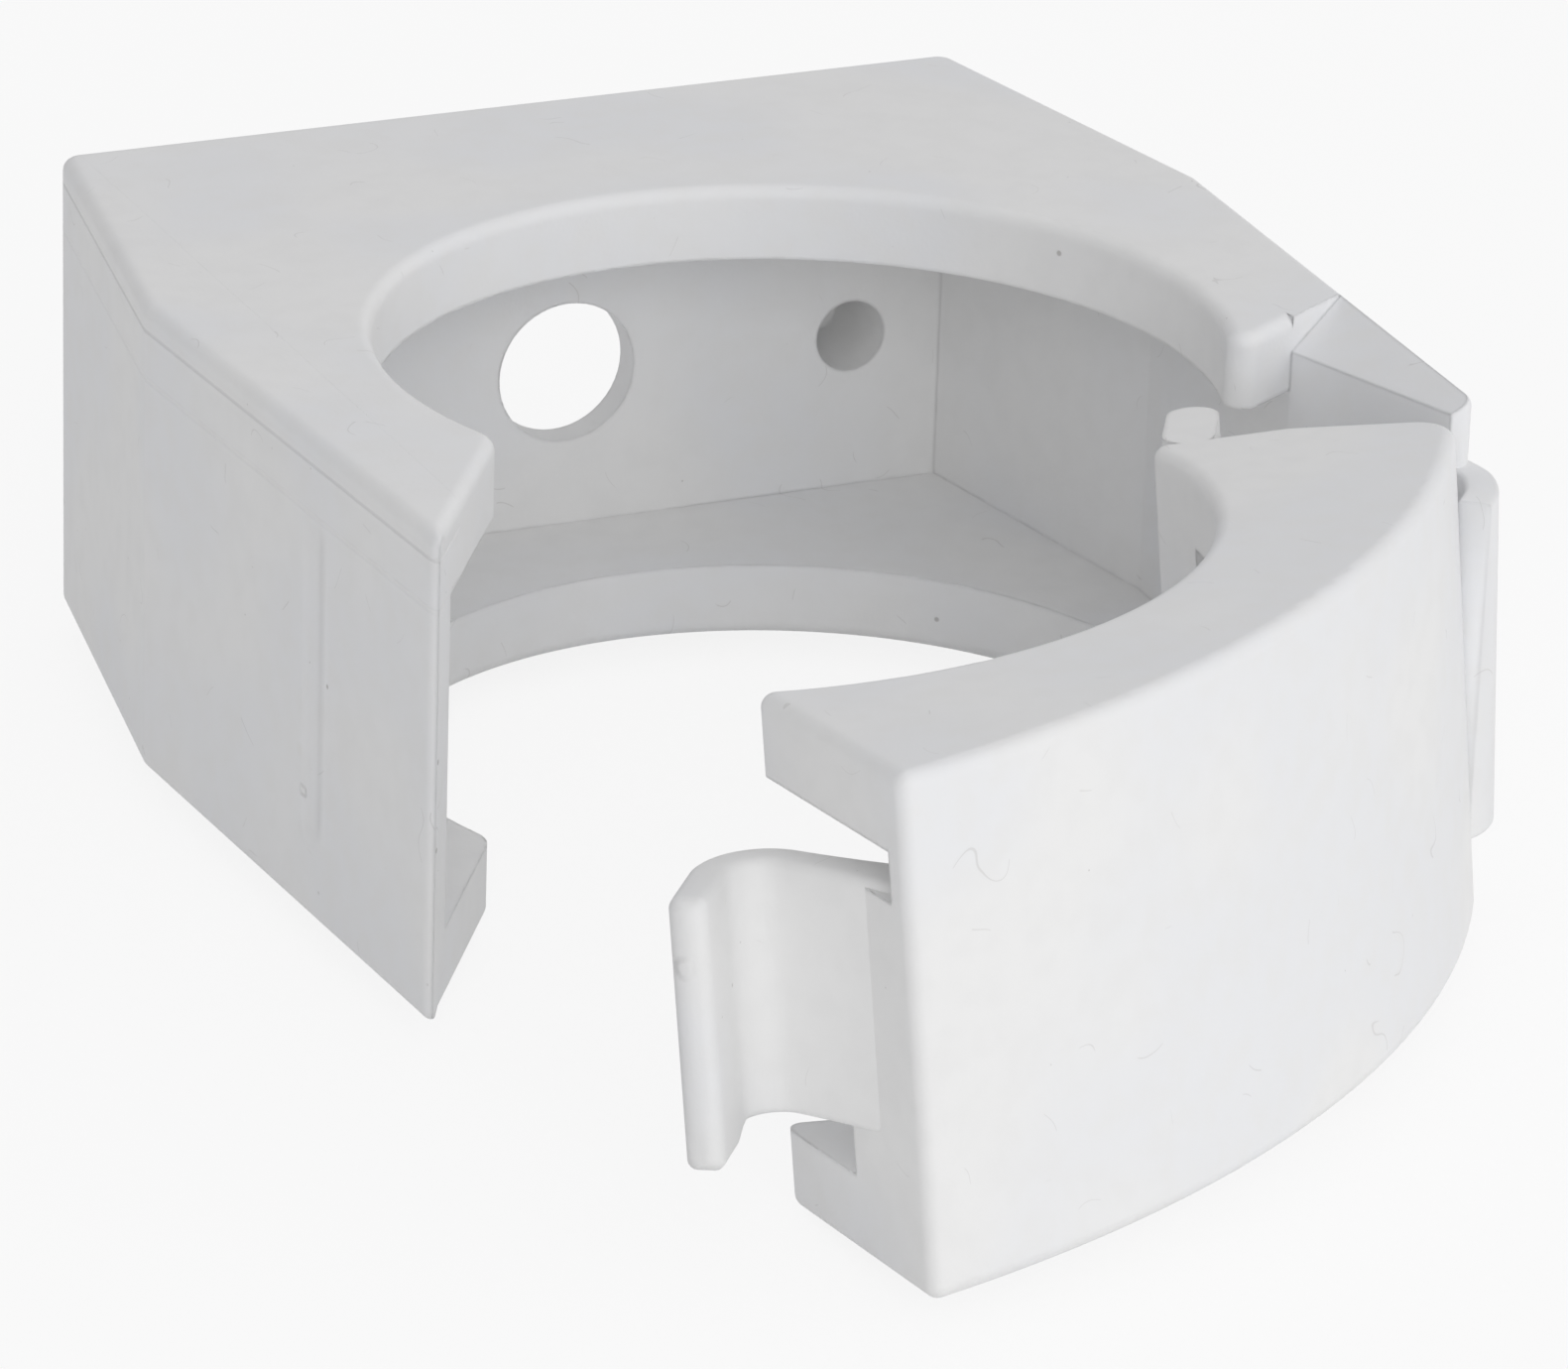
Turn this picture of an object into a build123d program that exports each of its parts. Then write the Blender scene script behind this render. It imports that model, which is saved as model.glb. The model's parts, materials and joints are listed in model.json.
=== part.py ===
"""Hinged pipe clip for a 28 mm pipe, in millimetres.

The pipe runs along Z through the origin, the wall is on the +Y side, and the clip
stands on its lower plate at Z = 0. The gate is drawn as it lies when it is shut,
and its drawing planes are turned about the hinge to where it stands when open.
"""
from math import cos, radians, sin, tan
import os

from build123d import *

# Body, seen from above
pipe_radius = 14.0
pipe_to_wall = 24.4
back_width = 33.6
shoulder_width = 38.6
shoulder_depth = 15.0
front_width = 36.1
front_reach = 12.95
clip_height = 16.5
plate = 2.6
side_wall = 2.8
slant_wall = 3.3
corner_radius = 0.7
edge_radius = 0.45

# Jaw, catch and latch hollow on the free side
jaw_angle = 56.0
jaw_tip_radius = 1.2
jaw_edge = 0.4
catch_ramp = 1.0
catch_land = 0.55
catch_wall = 1.7
latch_wall = 1.2
latch_depth = 9.0
latch_step = 0.5

# Hinge side
tip_angle = 30.0
tip_bore_angle = -26.0
tip_radius = 0.6
tip_length = 3.8
block_slope = 1.1
hinge_land = 1.0

# Web, screw hole and blind hole
web = 1.2
pocket_depth = 4.1
pocket_wall = 2.4
pocket_corner = 1.0
screw_radius = 2.55
rib = 1.2
rib_spacing = 13.0
peg_radius = 1.3
peg_depth = 3.2
peg_taper = 6.0
peg_offset = 10.9
peg_boss = 1.2

# Gate, drawn shut
open_angle = 37.2
hinge_in = 2.05
hinge_out = 3.05
hinge_lean_x = -9.7
hinge_lean_y = -2.9
gate_gap = 0.2
seam_gap = 1.1
gate_wall = 1.0
gate_radius = 40.0
gate_front = 19.25
gate_centre = 1.2
nose_angle = -31.6
back_angle = -35.6
back_radius = 18.75
corner_angle = -41.0
corner_reach = 23.0
heel_angle = -45.0
gate_corner = 0.4
heel_radius = 1.3
lug_width = 1.7
lug_length = 2.95
lug_angle = 22.6
lug_in = 1.5

# Latch hook, counted from the outer corner of the gate's end
hook_height = 8.1
hook_thickness = 1.15
hook_root = 0.3
hook_start_in = 2.5
hook_bend_out = 1.95
hook_bend_in = 6.45
hook_tip_out = 4.8
hook_tip_in = 3.2
hook_bend = 1.2
gusset_in = 3.4
gusset_depth = 3.2

# Strap of the living hinge
strap_height = 12.9
strap_thickness = 1.1
strap_bow_in = 0.45
strap_bow_out = 1.25
strap_end_in = 1.3
strap_end_out = 2.55

back_y = pipe_to_wall
shoulder_y = back_y - shoulder_depth
web_y = back_y - pocket_depth - web
front_y = -front_reach
cavity_height = clip_height - 2 * plate
mid_height = clip_height / 2
gate_bore = pipe_radius + gate_gap
hinge_way = (tan(radians(hinge_lean_x)), tan(radians(hinge_lean_y)), 1)
hinge_place = (front_width / 2 - hinge_in, -front_reach - hinge_out, mid_height)
hinge_line = Plane(hinge_place, z_dir=hinge_way).location
open_pose = hinge_line * Rot(0, 0, open_angle) * hinge_line.inverse()


def way(angle):
    """Direction in plan."""
    return Vector(cos(radians(angle)), sin(radians(angle)))


def meet(start, start_way, other, other_way):
    """Point where two lines in plan cross."""
    return start + start_way * ((other - start).cross(other_way).Z / start_way.cross(other_way).Z)


def half_width(y):
    """Half of the body's width at a depth."""
    if y > shoulder_y:
        slant = (shoulder_width - back_width) / 2 / shoulder_depth
        return shoulder_width / 2 - slant * (y - shoulder_y)
    taper = (shoulder_width - front_width) / 2 / (shoulder_y + front_reach)
    return shoulder_width / 2 - taper * (shoulder_y - y)


def inner_left(y, wall):
    """Point on the inside of the left wall, at a depth and a thickness."""
    return (-half_width(y) + wall, y)


def gate_plane(height):
    """Plane for the shut gate's outlines, turned with the gate to the open pose."""
    return Plane(open_pose * Pos(0, 0, height))


# Body: outline, bore and mouth
front_left = Vector(-front_width / 2, front_y)
front_right = Vector(front_width / 2, front_y)
hinge_front = front_right - (hinge_land, 0)
tip = way(tip_bore_angle) * pipe_radius
tip_end = tip + way(tip_angle) * tip_length
with BuildPart() as clip_body:
    with BuildSketch():
        with BuildLine():
            Polyline(
                (-back_width / 2, back_y),
                (back_width / 2, back_y),
                (shoulder_width / 2, shoulder_y),
                front_right,
                front_left,
                (-shoulder_width / 2, shoulder_y),
                close=True,
            )
        make_face()
        fillet(vertices(), radius=corner_radius)
        Circle(pipe_radius, mode=Mode.SUBTRACT)
        with BuildLine():
            Polyline(
                front_left,
                front_left + way(jaw_angle) * pipe_radius,
                tip - way(tip_angle) * plate,
                tip_end,
                hinge_front,
                hinge_front - (0, plate),
                front_left - (0, plate),
                close=True,
            )
        make_face(mode=Mode.SUBTRACT)
        fillet(vertices().sort_by_distance((-pipe_radius, 0))[0], radius=jaw_tip_radius)
        fillet(vertices().sort_by_distance(tip)[0], radius=tip_radius)
    extrude(amount=clip_height)
    block_face = (tip_end + hinge_front) / 2
    rim = clip_body.edges().filter_by(Plane.XY).sort_by_distance(block_face + (0, 0, mid_height))[2:]
    fillet(rim, radius=edge_radius)

    # Space between the plates, with the catch and the hook's hollow in the left wall
    catch_y = front_y + catch_ramp + catch_land
    hollow_y = front_y + latch_depth
    with BuildSketch(Plane.XY.offset(plate)):
        with BuildLine():
            Polyline(
                (-half_width(web_y) + slant_wall, web_y),
                (half_width(web_y) - slant_wall, web_y),
                (half_width(shoulder_y - side_wall) - side_wall, shoulder_y - side_wall),
                tip_end,
                hinge_front,
                hinge_front - (0, plate),
                front_left - (0, plate),
                front_left + (jaw_edge, 0),
                inner_left(front_y + catch_ramp, catch_wall),
                inner_left(catch_y, catch_wall),
                inner_left(catch_y, latch_wall),
                inner_left(hollow_y, latch_wall),
                inner_left(hollow_y + latch_step, side_wall),
                inner_left(shoulder_y - side_wall, side_wall),
                close=True,
            )
        make_face()
    extrude(amount=cavity_height, mode=Mode.SUBTRACT)

    # Pockets behind the web, with a boss round the blind hole
    with BuildSketch(Plane.XZ.offset(-back_y)):
        with Locations((0, mid_height)):
            RectangleRounded(back_width - 2 * pocket_wall, cavity_height, pocket_corner)
        with Locations((-rib_spacing / 2, mid_height), (rib_spacing / 2, mid_height)):
            Rectangle(rib, cavity_height, mode=Mode.SUBTRACT)
        with Locations((peg_offset, mid_height)):
            Circle(peg_radius + peg_boss, mode=Mode.SUBTRACT)
    extrude(amount=pocket_depth, mode=Mode.SUBTRACT)
    with BuildSketch(Plane.XZ.offset(-web_y)):
        with Locations((0, mid_height)):
            Circle(screw_radius)
    extrude(amount=-web, mode=Mode.SUBTRACT)
    with BuildSketch(Plane.XZ.offset(-web_y)):
        with Locations((peg_offset, mid_height)):
            Circle(peg_radius)
    extrude(amount=-peg_depth, taper=peg_taper, mode=Mode.SUBTRACT)

    # Slopes above and below the hinge block, falling from the outer wall
    outer_way = front_right - Vector(shoulder_width / 2, shoulder_y)
    outer_back = meet(front_right, outer_way, tip, way(tip_angle))
    slope_plane = Plane(outer_back, x_dir=(0, 0, 1), z_dir=way(tip_angle - 90))
    with BuildSketch(slope_plane):
        with BuildLine():
            Polyline(
                (clip_height, 0),
                (clip_height, 2 * side_wall),
                (clip_height - 2 * block_slope, 2 * side_wall),
                close=True,
            )
            Polyline(
                (0, 0),
                (0, 2 * side_wall),
                (2 * block_slope, 2 * side_wall),
                close=True,
            )
        make_face()
    extrude(amount=front_reach, dir=outer_way, mode=Mode.SUBTRACT)

# Gate: outline, bore and the space between its plates
end_way = way(180 + jaw_angle)
end_out = way(90 + jaw_angle)
seam = front_left - end_out * seam_gap
nose = way(nose_angle) * gate_bore
back_middle = way(back_angle) * back_radius
hinge_corner = way(corner_angle) * corner_reach
arc_centre = (gate_centre, gate_radius - gate_front)


def end_point(out, inward):
    """Point beside the gate's end, counted from its outer corner."""
    return seam + end_out * out - end_way * inward


with BuildPart() as gate:
    with BuildSketch(gate_plane(0)):
        with Locations(arc_centre):
            Circle(gate_radius)
        with BuildLine():
            Polyline(
                seam - end_way * pipe_radius,
                seam + end_way * pipe_radius,
                (0, -2 * gate_front),
                hinge_corner + (hinge_corner - back_middle),
                back_middle,
                nose,
                (0, 0),
                close=True,
            )
        make_face(mode=Mode.INTERSECT)
        Circle(gate_bore, mode=Mode.SUBTRACT)
        fillet(vertices().sort_by_distance(hinge_corner)[0], radius=heel_radius)
        fillet(vertices().sort_by_distance(hinge_corner)[3:], radius=gate_corner)
    extrude(amount=clip_height)
    fillet(gate.edges().filter_by(gate_plane(0)), radius=edge_radius)
    with BuildSketch(gate_plane(plate)):
        with Locations(arc_centre):
            Circle(gate_radius - gate_wall)
        with BuildLine():
            Polyline(
                seam - end_way * pipe_radius + end_out * gate_wall,
                seam + end_way * pipe_radius + end_out * gate_wall,
                (0, -2 * gate_front),
                way(heel_angle) * gate_radius,
                (0, 0),
                close=True,
            )
        make_face(mode=Mode.INTERSECT)
    extrude(amount=cavity_height, mode=Mode.SUBTRACT)

    # Lugs beside the back edge of both plates
    lug_centre = nose + way(back_angle) * lug_in + way(lug_angle) * (lug_length / 2 - lug_width / 4)
    for lug_base, lug_height in ((0, plate), (clip_height, -plate)):
        with BuildSketch(gate_plane(lug_base)):
            with Locations(lug_centre):
                SlotOverall(lug_length + lug_width / 2, lug_width, rotation=lug_angle)
        extrude(amount=lug_height)

    # Gusset that carries the hook, out of the wall and the lower plate
    hook_base = mid_height - hook_height / 2
    with BuildSketch(gate_plane(plate)):
        with BuildLine():
            Polyline(
                end_point(0, gusset_in),
                end_point(-hook_thickness / 2, gusset_in + hook_root),
                end_point(-gusset_depth, 0),
                end_point(-gusset_depth, -gate_wall / 2),
                end_point(0, -gate_wall / 2),
                close=True,
            )
        make_face()
    extrude(amount=hook_base + hook_height - plate)

# Latch hook, bent back on itself beyond the gusset
with BuildPart() as latch_hook:
    with BuildSketch(gate_plane(hook_base)):
        with BuildLine():
            FilletPolyline(
                end_point(-hook_root, hook_start_in),
                end_point(hook_bend_out, hook_bend_in),
                end_point(hook_tip_out, hook_tip_in),
                radius=hook_bend,
            )
        trace(line_width=hook_thickness)
    extrude(amount=hook_height)
    add(gate.part, mode=Mode.SUBTRACT)

# Strap of the living hinge, bowed outwards between the body and the gate
strap_start = hinge_front + (strap_thickness / 2 + gate_gap / 2, strap_thickness / 4)
strap_bow = front_right - (strap_bow_in, strap_bow_out)
strap_end = front_right - (strap_end_in, strap_end_out)
with BuildPart() as hinge_strap:
    with BuildSketch(Plane.XY.offset(mid_height - strap_height / 2)):
        SlotArc(ThreePointArc(strap_start, strap_bow, strap_end).edge(), strap_thickness)
    extrude(amount=strap_height)
    add(clip_body.part, mode=Mode.SUBTRACT)
    add(gate.part, mode=Mode.SUBTRACT)

os.makedirs("parts", exist_ok=True)
clip_body.part.label = "clip_body"
export_step(clip_body.part, "parts/clip_body.step")
gate.part.label = "gate"
export_step(gate.part, "parts/gate.step")
latch_hook.part.label = "latch_hook"
export_step(latch_hook.part, "parts/latch_hook.step")
hinge_strap.part.label = "hinge_strap"
export_step(hinge_strap.part, "parts/hinge_strap.step")
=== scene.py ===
"""Looks of the hinged pipe clip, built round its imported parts, in metres."""
import json
from math import cos, pi, radians, sin, tan

import bmesh
import bpy
from bpy.props import FloatProperty, FloatVectorProperty, PointerProperty
from mathutils import Euler, Matrix, Vector


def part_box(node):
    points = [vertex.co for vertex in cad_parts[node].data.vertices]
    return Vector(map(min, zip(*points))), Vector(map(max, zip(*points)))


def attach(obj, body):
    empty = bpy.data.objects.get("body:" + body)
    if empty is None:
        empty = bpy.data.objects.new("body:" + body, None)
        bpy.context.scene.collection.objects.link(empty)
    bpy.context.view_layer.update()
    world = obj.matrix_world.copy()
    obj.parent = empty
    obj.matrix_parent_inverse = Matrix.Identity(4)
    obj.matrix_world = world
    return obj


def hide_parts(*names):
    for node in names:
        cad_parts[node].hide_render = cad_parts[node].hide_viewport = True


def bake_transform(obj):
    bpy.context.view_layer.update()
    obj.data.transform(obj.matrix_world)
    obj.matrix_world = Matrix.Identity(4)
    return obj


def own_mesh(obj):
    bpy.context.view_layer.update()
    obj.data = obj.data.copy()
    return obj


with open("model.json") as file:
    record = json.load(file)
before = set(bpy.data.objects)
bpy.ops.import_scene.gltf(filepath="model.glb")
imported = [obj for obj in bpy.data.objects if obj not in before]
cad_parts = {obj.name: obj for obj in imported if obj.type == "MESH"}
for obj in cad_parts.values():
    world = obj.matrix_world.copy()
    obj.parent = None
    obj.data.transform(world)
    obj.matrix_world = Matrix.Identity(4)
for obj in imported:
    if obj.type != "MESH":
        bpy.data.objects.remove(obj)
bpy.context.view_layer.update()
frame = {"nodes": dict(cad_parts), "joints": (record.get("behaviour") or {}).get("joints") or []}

bl_info = {
    "name": "Pipe clip",
    "version": (1, 0, 0),
    "blender": (4, 5, 0),
    "location": "3D View > Sidebar > Pipe clip",
    "description": "Dresses a hinged pipe clip of white moulded plastic",
    "category": "Object",
}

MM = 0.001


# --- Shader maths -------------------------------------------------------------


class Field:
    """A number that varies over a surface. Python's operators add Math nodes to it."""

    def __init__(self, paint, socket):
        self.paint = paint
        self.socket = socket

    def __add__(self, other):
        return self.paint.math("ADD", self, other)

    __radd__ = __add__

    def __mul__(self, other):
        return self.paint.math("MULTIPLY", self, other)

    __rmul__ = __mul__

    def __sub__(self, other):
        return self.paint.math("SUBTRACT", self, other)

    def __rsub__(self, other):
        return self.paint.math("SUBTRACT", other, self)

    def __abs__(self):
        return self.paint.math("ABSOLUTE", self)

    def __lt__(self, other):
        return self.paint.math("LESS_THAN", self, other)


class Paint:
    """Builds the nodes of a material or of the world."""

    def __init__(self, owner):
        self.owner = owner
        owner.use_nodes = True
        self.tree = owner.node_tree
        self.tree.nodes.clear()

    def add(self, kind, settings=None, inputs=None):
        """A node of a kind, with its settings made first and then its sockets filled or linked."""
        node = self.tree.nodes.new(kind)
        for name, value in (settings or {}).items():
            setattr(node, name, value)
        for name, value in (inputs or {}).items():
            if isinstance(value, Field):
                value = value.socket
            if isinstance(value, bpy.types.NodeSocket):
                self.tree.links.new(value, node.inputs[name])
            else:
                node.inputs[name].default_value = value
        return node

    def math(self, operation, *values):
        """A Math node's result."""
        node = self.add("ShaderNodeMath", {"operation": operation}, dict(enumerate(values)))
        return Field(self, node.outputs[0])

    def smooth(self, value, low, high):
        """0 below low, 1 above high, and a soft step between them."""
        inputs = {"Value": value, "From Min": low, "From Max": high}
        node = self.add("ShaderNodeMapRange", {"interpolation_type": "SMOOTHSTEP"}, inputs)
        return Field(self, node.outputs["Result"])

    def band(self, value, middle, width, soft):
        """1 on a band of a width round a middle value, with soft edges."""
        return 1 - self.smooth(abs(value - middle), width / 2, width / 2 + soft)

    def millimetres(self):
        """The surface's own position in millimetres, which moves with its piece."""
        place = self.add("ShaderNodeTexCoord").outputs["Object"]
        scaled = self.add("ShaderNodeVectorMath", {"operation": "SCALE"}, {0: place, "Scale": 1 / MM})
        return scaled.outputs["Vector"]

    def noise(self, place, scale, detail=2.0, roughness=0.5):
        """Smooth noise about 0.5, scale lumps to the millimetre."""
        inputs = {"Vector": place, "Scale": scale, "Detail": detail, "Roughness": roughness}
        return Field(self, self.add("ShaderNodeTexNoise", None, inputs).outputs[0])

    def shifted(self, place, offset):
        """A place moved by an offset, so that two patterns don't match."""
        node = self.add("ShaderNodeVectorMath", {"operation": "ADD"}, {0: place, 1: offset})
        return node.outputs["Vector"]

    def mix(self, factor, first, second):
        """A colour between two others."""
        settings = {"data_type": "RGBA", "clamp_factor": True}
        node = self.add("ShaderNodeMix", settings, {0: factor, 6: first, 7: second})
        return node.outputs[2]

    def parts(self, vector):
        """The three numbers of a vector."""
        node = self.add("ShaderNodeSeparateXYZ", None, {0: vector})
        return [Field(self, socket) for socket in node.outputs]

    def specks(self, place, spacing, radius, share):
        """Small round spots, at most one in each cell of a spacing and in only a share of the cells."""
        inputs = {"Vector": place, "Scale": 1 / spacing, "Randomness": 1.0}
        cells = self.add("ShaderNodeTexVoronoi", {"feature": "F1"}, inputs)
        near = 1 - self.smooth(Field(self, cells.outputs["Distance"]), radius / spacing * 0.5, radius / spacing)
        chosen = self.parts(cells.outputs["Color"])[0] < share
        return near * chosen

    def hairs(self, place, scale, width, share):
        """Short thin curved lines."""
        line = self.band(self.noise(place, scale, 1.0), 0.5, width, width)
        where = self.noise(self.shifted(place, (31.0, 7.0, 13.0)), scale * 2.2, 0.0)
        return line * self.smooth(where, 1 - share, 1 - share + 0.03)

    def finish(self, shader_inputs):
        """Joins the shader to the material's output."""
        shader = self.add("ShaderNodeBsdfPrincipled", None, shader_inputs)
        self.add("ShaderNodeOutputMaterial", None, {"Surface": shader.outputs[0]})
        return self.owner


def linear(colour, tint=(1.0, 1.0, 1.0)):
    """A colour socket's four numbers, for a colour times a tint."""
    return (*[c * share for c, share in zip(colour, tint)], 1.0)


# --- The plastic --------------------------------------------------------------

# Patterns: lumps to the millimetre, and spacings, radii and widths in mm
MOTTLE_SCALE = 0.11
CLOUD_SCALE = 0.9
GRAIN_SCALE = 5.5
WAVE_SCALE = 0.35
DUST_SPACING, DUST_RADIUS = 3.1, 0.13
FINE_SPACING, FINE_RADIUS, FINE_SHARE = 1.3, 0.05, 0.9
HAIR_SCALE, HAIR_WIDTH, HAIR_SHARE = 0.31, 0.0022, 0.33

# How they change the colour and the roughness
MOTTLE_RANGE = (0.38, 0.62)
CLOUD_RANGE = (0.35, 0.75)
COOL_TINT = (0.972, 0.98, 1.0)
DULL_TINT = (0.965, 0.965, 0.965)
CLOUD_DEPTH, DUST_DEPTH, FINE_DEPTH, HAIR_DEPTH = 0.55, 0.55, 0.35, 0.2
CLOUD_DULLNESS, DUST_DULLNESS, GRAIN_DULLNESS = 0.10, 0.2, 0.05
PLASTIC_IOR = 1.49
PLASTIC_SHINE = 0.42


def moulded_plastic(name, look, marks=None):
    """White moulded plastic: faint mottling, dust specks, hair scratches and a satin mould grain."""
    paint = Paint(bpy.data.materials.new(name))
    place = paint.millimetres()
    mottle = paint.noise(place, MOTTLE_SCALE, 1.0)
    cloud = paint.noise(paint.shifted(place, (5.0, 17.0, 3.0)), CLOUD_SCALE, 1.5)
    grain = paint.noise(place, GRAIN_SCALE, 1.0, 0.6)
    flow = paint.noise(paint.shifted(place, (9.0, 2.0, 21.0)), WAVE_SCALE, 0.0)
    dust = paint.specks(place, DUST_SPACING, DUST_RADIUS, look.dust)
    fine_place = paint.shifted(place, (3.3, 1.7, 5.1))
    fine_dust = paint.specks(fine_place, FINE_SPACING, FINE_RADIUS, look.dust * FINE_SHARE)
    hairs = paint.hairs(place, HAIR_SCALE, HAIR_WIDTH, HAIR_SHARE)

    warm, dirt = linear(look.plastic), linear(look.dirt)
    cool, dull = linear(look.plastic, COOL_TINT), linear(look.plastic, DULL_TINT)
    colour = paint.mix(paint.smooth(mottle, *MOTTLE_RANGE), warm, cool)
    colour = paint.mix(paint.smooth(cloud, *CLOUD_RANGE) * CLOUD_DEPTH, colour, dull)
    for mark, depth in ((dust, DUST_DEPTH), (fine_dust, FINE_DEPTH), (hairs, HAIR_DEPTH)):
        colour = paint.mix(mark * depth, colour, dirt)

    roughness = look.roughness + (cloud - 0.5) * CLOUD_DULLNESS + dust * DUST_DULLNESS
    roughness = roughness + (grain - 0.5) * GRAIN_DULLNESS
    height = grain * look.grain + flow * look.waves
    if marks:
        mark_height, mark_shade = marks(paint, place)
        height = height + mark_height
        # The marks darken the colour; on the body this holds painted shade along its mould lines
        colour = paint.mix(mark_shade, colour, dull)
    soft_edge = paint.add("ShaderNodeBevel", {"samples": 2}, {"Radius": look.edge * MM}).outputs[0]
    relief = {"Strength": 1.0, "Distance": MM, "Height": height, "Normal": soft_edge}
    return paint.finish(
        {
            "Base Color": colour,
            "Roughness": roughness,
            "Normal": paint.add("ShaderNodeBump", None, relief).outputs[0],
            "IOR": PLASTIC_IOR,
            "Specular IOR Level": PLASTIC_SHINE,
        }
    )


# The body's marks, on its left outer faces, in mm. A band is its middle, width and soft edge.
LEFT_FACES = -16.2
LEDGE_HEIGHTS = (15.52, 15.74)
LINE_BAND = (15.66, 0.05, 0.08)
FAINT_LINE_BAND = (13.95, 0.05, 0.10)
SINK_FOOT = (2.7, 3.3)
SINK_HEAD = (13.2, 13.9)
SINK_BAND = (-3.95, 0.45, 0.7)
RIM_BAND = (-4.75, 0.1, 0.35)
LEDGE_DEPTH, LINE_DEPTH, FAINT_LINE_DEPTH, SINK_DEPTH, NICK_DEPTH = 0.06, 0.015, 0.02, 0.07, 0.09
RIM_HEIGHT, FOOT_HEIGHT = 0.02, 0.03
# How dark the two lines are painted: painted shade along the ledge step and along the faint groove
LINE_PAINTED_SHADE, FAINT_LINE_PAINTED_SHADE = 0.3, 0.25

# Small marks at the foot of the sink line: each has a band of heights and a band of depths
FOOT_BANDS = ((3.0, 0.2, 0.4), (-3.9, 1.1, 0.5))
NICK_BANDS = ((4.3, 0.12, 0.2), (-3.3, 0.25, 0.2))
SPOT_BANDS = ((5.6, 0.15, 0.25), (-3.0, 0.2, 0.25))

# The gate's mark: a band across its face and a band of heights
GATE_MARK_BANDS = ((12.4, 0.25, 0.3), (7.9, 0.5, 0.4))
GATE_MARK_HEIGHT = 0.035
GATE_MARK_SHADE = 0.3


def body_marks(paint, place):
    """Mould lines round the top of the left walls, with painted shade along them, and the sink line outside the
    hook's hollow.
    """
    x, y, z = paint.parts(place)
    left = x < LEFT_FACES
    step = paint.smooth(z, *LEDGE_HEIGHTS)
    faint_line = paint.band(z, *FAINT_LINE_BAND)
    line = paint.band(z, *LINE_BAND)
    tall = paint.smooth(z, *SINK_FOOT) * (1 - paint.smooth(z, *SINK_HEAD))
    sink = paint.band(y, *SINK_BAND) * tall
    rim = paint.band(y, *RIM_BAND) * tall
    foot, nick, spot = [
        paint.band(z, *high) * paint.band(y, *deep) for high, deep in (FOOT_BANDS, NICK_BANDS, SPOT_BANDS)
    ]
    height = step * -LEDGE_DEPTH - line * LINE_DEPTH - faint_line * FAINT_LINE_DEPTH - sink * SINK_DEPTH
    height = (height + rim * RIM_HEIGHT) * left + (foot * FOOT_HEIGHT - nick * NICK_DEPTH) * left
    # The colour: painted shade along the two lines, and darker at the nick and the spot
    return height, (line * LINE_PAINTED_SHADE + nick + spot + faint_line * FAINT_LINE_PAINTED_SHADE) * left


def gate_marks(paint, place):
    """A faint moulding mark on the gate's face."""
    x, _, z = paint.parts(place)
    across, high = GATE_MARK_BANDS
    mark = paint.band(x, *across) * paint.band(z, *high)
    return mark * GATE_MARK_HEIGHT, mark * GATE_MARK_SHADE


def hook_marks(paint, place):
    """A small nub on the end of the hook's barb."""
    spot = tuple(TO_REST @ (end_point(*NUB_PLACE).to_3d() + Vector((0, 0, NUB_UP))) / MM)
    apart = paint.add("ShaderNodeVectorMath", {"operation": "DISTANCE"}, {0: place, 1: spot})
    nub = 1 - paint.smooth(Field(paint, apart.outputs["Value"]), *NUB_RADII)
    return nub * NUB_HEIGHT, 0.0


# --- What a user would change -------------------------------------------------


class PlasticLook(bpy.types.PropertyGroup):
    plastic: FloatVectorProperty(
        name="Plastic", description="Colour of the white plastic", subtype="COLOR", default=(0.915, 0.914, 0.91)
    )
    dirt: FloatVectorProperty(
        name="Dust", description="Colour of the specks and scratches", subtype="COLOR", default=(0.33, 0.31, 0.29)
    )
    roughness: FloatProperty(name="Roughness", description="Dullness of the moulded skin", default=0.5, min=0, max=1)
    grain: FloatProperty(name="Grain", description="Height of the mould's grain in mm", default=0.006, min=0)
    waves: FloatProperty(name="Waves", description="Height of the skin's slow waves in mm", default=0.05, min=0)
    dust: FloatProperty(name="Dust share", description="Share of places with a speck", default=0.28, min=0, max=1)
    edge: FloatProperty(name="Edge", description="Radius of the softened edges in mm", default=0.2, min=0)


class HookSizes(bpy.types.PropertyGroup):
    thickness: FloatProperty(
        name="Thickness", description="Thickness of the hook's strip", unit="LENGTH", default=1.15 * MM
    )
    top: FloatProperty(
        name="Top",
        description="Height of the hook's upper edge when the gate is shut",
        unit="LENGTH",
        default=12.55 * MM,
    )
    bottom: FloatProperty(
        name="Bottom",
        description="Height of the barb's lower edge when the gate is shut",
        unit="LENGTH",
        default=4.0 * MM,
    )
    rounding: FloatProperty(name="Rounding", description="Radius of its edges", unit="LENGTH", default=0.3 * MM)
    keep: FloatProperty(
        name="Squeezed",
        description="Share of its width left at the end of the gate's swing",
        default=0.25,
        min=0,
        max=1,
    )


class StrapSizes(bpy.types.PropertyGroup):
    thickness: FloatProperty(
        name="Thickness", description="Thickness of the hinge strap", unit="LENGTH", default=1.1 * MM
    )
    top: FloatProperty(name="Top", description="Height of the strap's upper end", unit="LENGTH", default=14.15 * MM)
    bottom: FloatProperty(
        name="Bottom", description="Height of the strap's lower end", unit="LENGTH", default=2.4 * MM
    )
    rounding: FloatProperty(name="Rounding", description="Radius of its edges", unit="LENGTH", default=0.18 * MM)
    lean: FloatProperty(
        name="Lean", description="How far its foot bows out past its top", unit="LENGTH", default=0.6 * MM
    )


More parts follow.
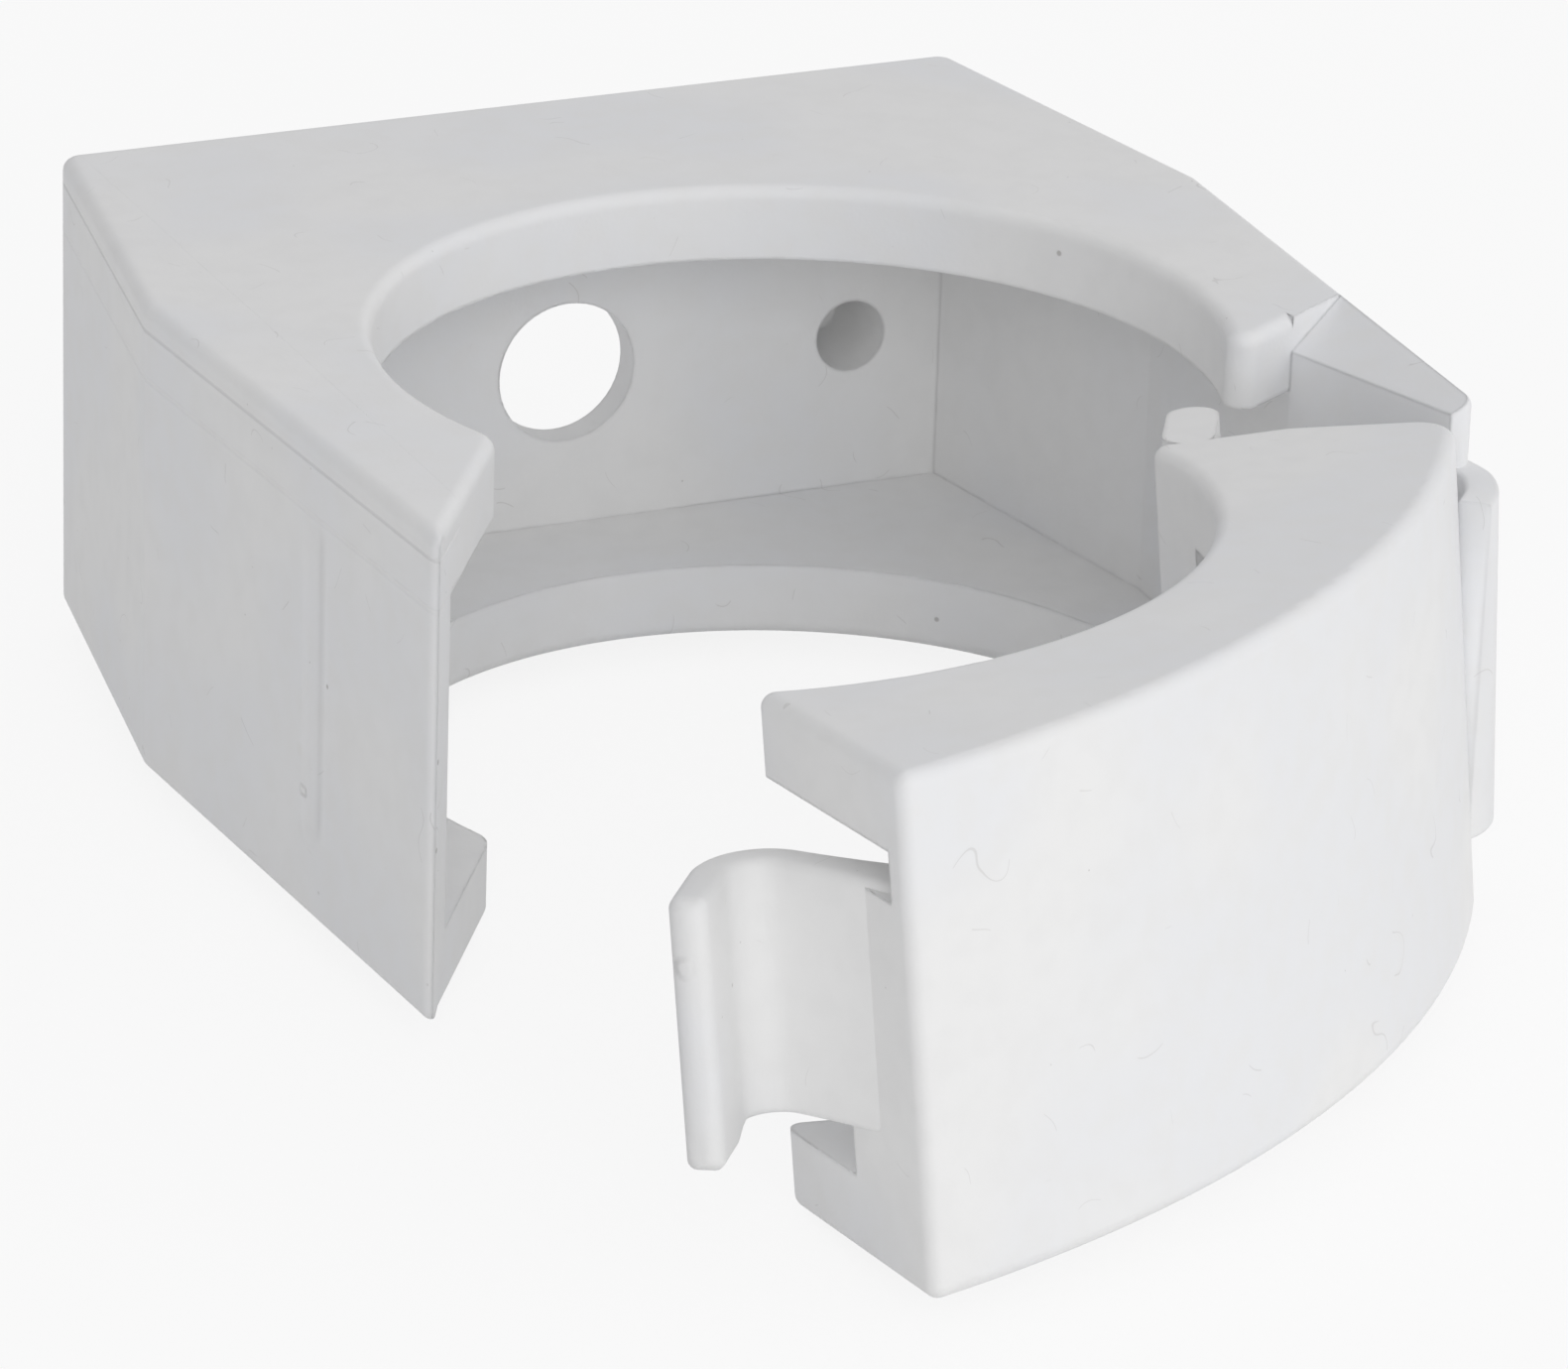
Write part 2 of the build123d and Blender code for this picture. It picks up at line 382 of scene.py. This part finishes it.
class StageLook(bpy.types.PropertyGroup):
    floor: FloatVectorProperty(
        name="Floor", description="Colour of the floor", subtype="COLOR", default=(0.9, 0.9, 0.9)
    )
    sky: FloatProperty(name="Sky", description="Strength of the even light", default=0.66, min=0)
    left_share: FloatProperty(
        name="Left share", description="The left side's light, as a share of the even light", default=0.6, min=0
    )
    key: FloatProperty(name="Key", description="Power of the large lamp on the right", unit="POWER", default=0.3)
    front: FloatProperty(name="Front", description="Power of the lamp beside the camera", unit="POWER", default=0.8)
    lens: FloatProperty(name="Lens", description="Focal length for a 36 mm sensor, in mm", default=192.35)


# --- Shared mesh code ---------------------------------------------------------

CORNER_STEPS = 4
BEND_STEPS = 24
SPLINE_STEPS = 8


def new_piece(name, mesh, material):
    """An object with one material, smooth-shaded."""
    mesh.materials.append(material)
    for face in mesh.polygons:
        face.use_smooth = True
    piece = bpy.data.objects.new(name, mesh)
    bpy.context.scene.collection.objects.link(piece)
    return piece


def dress(node, material):
    """Gives a CAD node a material."""
    mesh = frame["nodes"][node].data
    mesh.materials.clear()
    mesh.materials.append(material)


def lofted(rings):
    """A closed tube through rings of points that all have the same count, with both ends filled."""
    mesh = bpy.data.meshes.new("loft")
    shape = bmesh.new()
    loops = [[shape.verts.new(point) for point in ring] for ring in rings]
    count = len(rings[0])
    for here, there in zip(loops, loops[1:]):
        for k in range(count):
            m = (k + 1) % count
            shape.faces.new((here[k], here[m], there[m], there[k]))
    shape.faces.new(list(reversed(loops[0])))
    shape.faces.new(loops[-1])
    bmesh.ops.recalc_face_normals(shape, faces=shape.faces)
    shape.to_mesh(mesh)
    shape.free()
    return mesh


def spline(points):
    """Points along a smooth curve through the given ones."""
    ends = [points[0] * 2 - points[1], *points, points[-1] * 2 - points[-2]]
    result = []
    for a, b, c, d in zip(ends, ends[1:], ends[2:], ends[3:]):
        square, cube = 2 * a - 5 * b + 4 * c - d, 3 * b - a - 3 * c + d
        for k in range(SPLINE_STEPS):
            t = k / SPLINE_STEPS
            result.append(0.5 * (2 * b + (c - a) * t + square * t**2 + cube * t**3))
    result.append(points[-1])
    return result


def rounded_section(across, half_thickness, low, high, radius):
    """A tall strip's cut with rounded edges, as pairs of an offset across the strip and a height."""
    ring = []
    corners = ((1, 1, 0), (-1, 1, 90), (-1, -1, 180), (1, -1, 270))
    for side, up, start in corners:
        for k in range(CORNER_STEPS + 1):
            angle = radians(start + k * 90 / CORNER_STEPS)
            a = side * (half_thickness - radius) + radius * cos(angle)
            z = (high - radius if up > 0 else low + radius) + radius * sin(angle)
            ring.append((across * a, z))
    return ring


# --- The gate's end -----------------------------------------------------------

JOINT = frame["joints"][0]
HINGE = Vector(JOINT["pos_m"])
SHUT_ANGLE = radians(-JOINT["range_deg"][0])
OPENING = Matrix.Rotation(SHUT_ANGLE, 4, Vector(JOINT["axis"]))
TO_REST = Matrix.Translation(HINGE) @ OPENING @ Matrix.Translation(-HINGE)

# On the shut gate: the outer corner of its end, and the ways along and out of that end
END_CORNER = Vector((-17.138, -13.565)) * MM
END_WAY = Vector((-0.5592, -0.8290))
END_OUT = Vector((-0.8290, 0.5592))

# The hook. Its path, and one more place on the gate that is worked out but not used, are counted out
# from the gate's end and in from its corner, in mm. Then come its bend, the step along its path, its
# rounded tip, the length of the barb, how far its leg stops above the barb's foot, and how it thickens into the
# gate.
HOOK_PATH = ((-1.4, 0.73), (1.95, 6.75), (5.08, 3.1))
HOOK_ANCHOR = (0.3, 4.6)
HOOK_BEND = 1.6 * MM
HOOK_PATH_STEP = 0.25 * MM
HOOK_TIP_ROUND = 0.35 * MM
HOOK_TIP_LENGTH = 2.0 * MM
HOOK_STEP = 0.45 * MM
HOOK_STEP_LENGTH = 1.2 * MM
HOOK_FLARE = 0.45 * MM
HOOK_FLARE_LENGTH = 5.3 * MM

# The nub on the barb's end: placed in the same way, then its height over the ground, the radii
# between which it fades in mm, and its height over the barb in mm
NUB_PLACE = (5.22, 3.2)
NUB_UP = 10.45 * MM
NUB_RADII = (0.15, 0.45)
NUB_HEIGHT = 0.08

# The hinge strap's middle line at rest, in mm, with its two ends inside what they join
STRAP_PATH = (
    (17.62, -12.3),
    (17.70, -12.675),
    (17.78, -13.5),
    (17.6, -14.2),
    (17.25, -14.9),
    (16.75, -15.5),
    (16.5, -15.8),
)

# The direction in which the strap's foot bows out
STRAP_BOW = Vector((0.91, -0.41))


def end_point(out, inward):
    """A place on the shut gate, counted in mm from the corner of its end."""
    return END_CORNER + END_OUT * (out * MM) - END_WAY * (inward * MM)


def bent_path(corners, radius):
    """Straight runs from the first point to the last, with the middle corner rounded."""
    first, corner, last = corners
    back, on = (first - corner).normalized(), (last - corner).normalized()
    half_angle = back.angle(on) / 2
    reach = radius / tan(half_angle)
    middle = corner + (back + on).normalized() * (radius / sin(half_angle))
    start, end = corner + back * reach, corner + on * reach
    turn = (start - middle).angle_signed(end - middle)
    points = [first]
    arm = start - middle
    for k in range(BEND_STEPS + 1):
        angle = -turn * k / BEND_STEPS
        turned = (arm.x * cos(angle) - arm.y * sin(angle), arm.x * sin(angle) + arm.y * cos(angle))
        points.append(middle + Vector(turned))
    points.append(last)
    return points


def spaced(points, step):
    """Points a step apart along a line of given ones."""
    result = [points[0]]
    for a, b in zip(points, points[1:]):
        count = max(1, round((b - a).length / step))
        result += [a.lerp(b, (k + 1) / count) for k in range(count)]
    return result


# --- Pieces -------------------------------------------------------------------


class CLIP_OT_body(bpy.types.Operator):
    """Finish the clip's body"""

    bl_idname = "clip.body"
    bl_label = "Body"

    def execute(self, context):
        material = moulded_plastic("body_plastic", context.scene.plastic_look, body_marks)
        dress("clip_body", material)
        return {"FINISHED"}


class CLIP_OT_gate(bpy.types.Operator):
    """Finish the swinging gate"""

    bl_idname = "clip.gate"
    bl_label = "Gate"

    def execute(self, context):
        material = moulded_plastic("gate_plastic", context.scene.plastic_look, gate_marks)
        dress("gate", material)
        return {"FINISHED"}


class CLIP_OT_hook(bpy.types.Operator):
    """Build the springy hook on the gate's end"""

    bl_idname = "clip.hook"
    bl_label = "Hook"

    def execute(self, context):
        look = context.scene.hook_sizes
        half = look.thickness / 2
        path = bent_path([end_point(*place) for place in HOOK_PATH], HOOK_BEND)
        path = spaced(path, HOOK_PATH_STEP)
        length = sum((b - a).length for a, b in zip(path, path[1:]))
        rings, travelled = [], 0.0
        for k, point in enumerate(path):
            before, after = path[max(k - 1, 0)], path[min(k + 1, len(path) - 1)]
            way = (after - before).normalized()
            across = Vector((way.y, -way.x))
            travelled += (point - before).length
            left = length - travelled
            inset = HOOK_TIP_ROUND - (max(HOOK_TIP_ROUND**2 - max(HOOK_TIP_ROUND - left, 0) ** 2, 0)) ** 0.5
            flare = HOOK_FLARE * max(1 - travelled / HOOK_FLARE_LENGTH, 0) ** 2
            step = HOOK_STEP * min(max((left - HOOK_TIP_LENGTH) / HOOK_STEP_LENGTH, 0), 1)
            low, high = look.bottom + step + inset, look.top - inset
            section = rounded_section(across, half - inset + flare, low, high, min(look.rounding, half - inset))
            rings.append([TO_REST @ Vector((point.x + flat.x, point.y + flat.y, z)) for flat, z in section])
        plastic = moulded_plastic("hook_plastic", context.scene.plastic_look, hook_marks)
        piece = new_piece("snap_hook", lofted(rings), plastic)
        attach(piece, "gate")
        tuple(TO_REST @ end_point(*HOOK_ANCHOR).to_3d())
        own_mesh(piece)
        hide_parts("latch_hook")
        return {"FINISHED"}


class CLIP_OT_strap(bpy.types.Operator):
    """Build the thin strap that the gate hinges on"""

    bl_idname = "clip.strap"
    bl_label = "Hinge strap"

    def execute(self, context):
        look = context.scene.strap_sizes
        half = look.thickness / 2
        path = spline([Vector(place) * MM for place in STRAP_PATH])
        rings = []
        for k, point in enumerate(path):
            way = (path[min(k + 1, len(path) - 1)] - path[max(k - 1, 0)]).normalized()
            across = Vector((way.y, -way.x))
            bow = look.lean * sin(pi * k / (len(path) - 1)) / (look.top - look.bottom)
            ring = []
            for flat, z in rounded_section(across, half, look.bottom, look.top, look.rounding):
                spot = point + flat + STRAP_BOW * (bow * (look.top - z))
                ring.append(spot.to_3d() + Vector((0, 0, z)))
            rings.append(ring)
        plastic = moulded_plastic("strap_plastic", context.scene.plastic_look)
        piece = new_piece("hinge_web", lofted(rings), plastic)
        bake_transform(piece)
        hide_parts("hinge_strap")
        return {"FINISHED"}


class CLIP_PT_panel(bpy.types.Panel):
    """The clip's pieces"""

    bl_idname = "CLIP_PT_panel"
    bl_label = "Pipe clip"
    bl_space_type = "VIEW_3D"
    bl_region_type = "UI"
    bl_category = "Pipe clip"

    def draw(self, context):
        for group in GROUPS:
            box = self.layout.box()
            for prop in getattr(context.scene, group).bl_rna.properties:
                if prop.identifier not in ("rna_type", "name"):
                    box.prop(getattr(context.scene, group), prop.identifier)
        for piece in STEPS:
            self.layout.operator("clip." + piece)


# The camera and the lamps stand in metres. The sky turns from dim to bright across x.
CAMERA_PLACE = (-0.10909, -0.23201, 0.11130)
CAMERA_ANGLES = (67.273, -1.806, -24.387)
CAMERA_NEAR = 0.01
SENSOR_WIDTH = 36.0
SKY_COLOUR = (0.99, 0.99, 1.0, 1.0)
SKY_TURN = (-0.9, 0.2)
WHITE = (1.0, 1.0, 1.0, 1.0)
LAMPS = {
    "key": {"place": (0.34, -0.30, 0.16), "size": 0.34, "colour": (1.0, 0.985, 0.965)},
    "front": {"place": (-0.16, -0.52, 0.22), "size": 0.35, "colour": (1.0, 1.0, 1.0)},
}
FLOOR_RADIUS = 1.6
FLOOR_SIDES = 96
FLOOR_TINT = (0.985, 0.985, 0.985)
FLOOR_SCALE = 0.02
FLOOR_MOTTLE = 0.3
FLOOR_GLOW = 0.86


class CLIP_OT_stage(bpy.types.Operator):
    """Set the floor, the light and the camera"""

    bl_idname = "clip.stage"
    bl_label = "Stage"

    def execute(self, context):
        look = context.scene.stage_look
        scene = context.scene
        scene.view_settings.view_transform = "Standard"

        camera = bpy.data.objects.new("camera", bpy.data.cameras.new("camera"))
        camera.data.lens = look.lens
        camera.data.sensor_width = SENSOR_WIDTH
        camera.data.clip_start = CAMERA_NEAR
        camera.location = CAMERA_PLACE
        camera.rotation_euler = Euler([radians(angle) for angle in CAMERA_ANGLES])
        scene.collection.objects.link(camera)
        scene.camera = camera

        world = bpy.data.worlds.new("studio")
        scene.world = world
        sky = Paint(world)
        path = sky.add("ShaderNodeLightPath")
        seen = sky.math("MAXIMUM", path.outputs["Is Camera Ray"], path.outputs["Is Transmission Ray"])
        direction = sky.parts(sky.add("ShaderNodeTexCoord").outputs["Generated"])
        right = sky.smooth(direction[0], *SKY_TURN)
        dim_strength = look.sky * look.left_share
        dim = sky.add("ShaderNodeBackground", None, {"Color": SKY_COLOUR, "Strength": dim_strength})
        bright = sky.add("ShaderNodeBackground", None, {"Color": SKY_COLOUR, "Strength": look.sky})
        even = sky.add("ShaderNodeMixShader", None, {0: right, 1: dim.outputs[0], 2: bright.outputs[0]})
        white = sky.add("ShaderNodeBackground", None, {"Color": WHITE, "Strength": 1.0})
        chosen = sky.add("ShaderNodeMixShader", None, {0: seen, 1: even.outputs[0], 2: white.outputs[0]})
        sky.add("ShaderNodeOutputWorld", None, {"Surface": chosen.outputs[0]})

        self.floor(look)
        for name, settings in LAMPS.items():
            self.lamp(name, getattr(look, name), **settings)
        return {"FINISHED"}

    def floor(self, look):
        """A round pale floor that looks white where no shadow falls on it."""
        paint = Paint(bpy.data.materials.new("floor_paint"))
        place = paint.millimetres()
        tone = paint.noise(place, FLOOR_SCALE, 2.0)
        colour = paint.mix(tone * FLOOR_MOTTLE, linear(look.floor), linear(look.floor, FLOOR_TINT))
        path = paint.add("ShaderNodeLightPath")
        seen = paint.math("MAXIMUM", path.outputs["Is Camera Ray"], path.outputs["Is Glossy Ray"])
        shader = paint.add("ShaderNodeBsdfDiffuse", None, {"Color": colour})
        glow = paint.add("ShaderNodeEmission", None, {"Color": WHITE, "Strength": 1.0})
        halves = {0: seen * FLOOR_GLOW, 1: shader.outputs[0], 2: glow.outputs[0]}
        mixed = paint.add("ShaderNodeMixShader", None, halves)
        paint.add("ShaderNodeOutputMaterial", None, {"Surface": mixed.outputs[0]})
        mesh = bpy.data.meshes.new("floor")
        shape = bmesh.new()
        bmesh.ops.create_circle(shape, cap_ends=True, radius=FLOOR_RADIUS, segments=FLOOR_SIDES)
        shape.to_mesh(mesh)
        shape.free()
        floor = new_piece("floor", mesh, paint.owner)
        floor.location.z = min(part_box(node)[0].z for node in frame["nodes"])

    def lamp(self, name, power, place, size, colour):
        """A square lamp that faces the clip."""
        data = bpy.data.lights.new(name, "AREA")
        data.size = size
        data.energy = power
        data.color = colour
        lamp = bpy.data.objects.new(name, data)
        lamp.location = place
        lamp.rotation_euler = (-Vector(place)).to_track_quat("-Z", "Y").to_euler()
        bpy.context.scene.collection.objects.link(lamp)


GROUPS = {"plastic_look": PlasticLook, "hook_sizes": HookSizes, "strap_sizes": StrapSizes, "stage_look": StageLook}
STEPS = {
    "stage": CLIP_OT_stage,
    "body": CLIP_OT_body,
    "gate": CLIP_OT_gate,
    "hook": CLIP_OT_hook,
    "strap": CLIP_OT_strap,
}
CLASSES = (*GROUPS.values(), *STEPS.values(), CLIP_PT_panel)


def register():
    for kind in CLASSES:
        bpy.utils.register_class(kind)
    for name, kind in GROUPS.items():
        setattr(bpy.types.Scene, name, PointerProperty(type=kind))


def unregister():
    for name in GROUPS:
        delattr(bpy.types.Scene, name)
    for kind in reversed(CLASSES):
        bpy.utils.unregister_class(kind)


def main():
    register()
    for piece in STEPS:
        getattr(bpy.ops.clip, piece)()


if __name__ == "__main__":
    main()
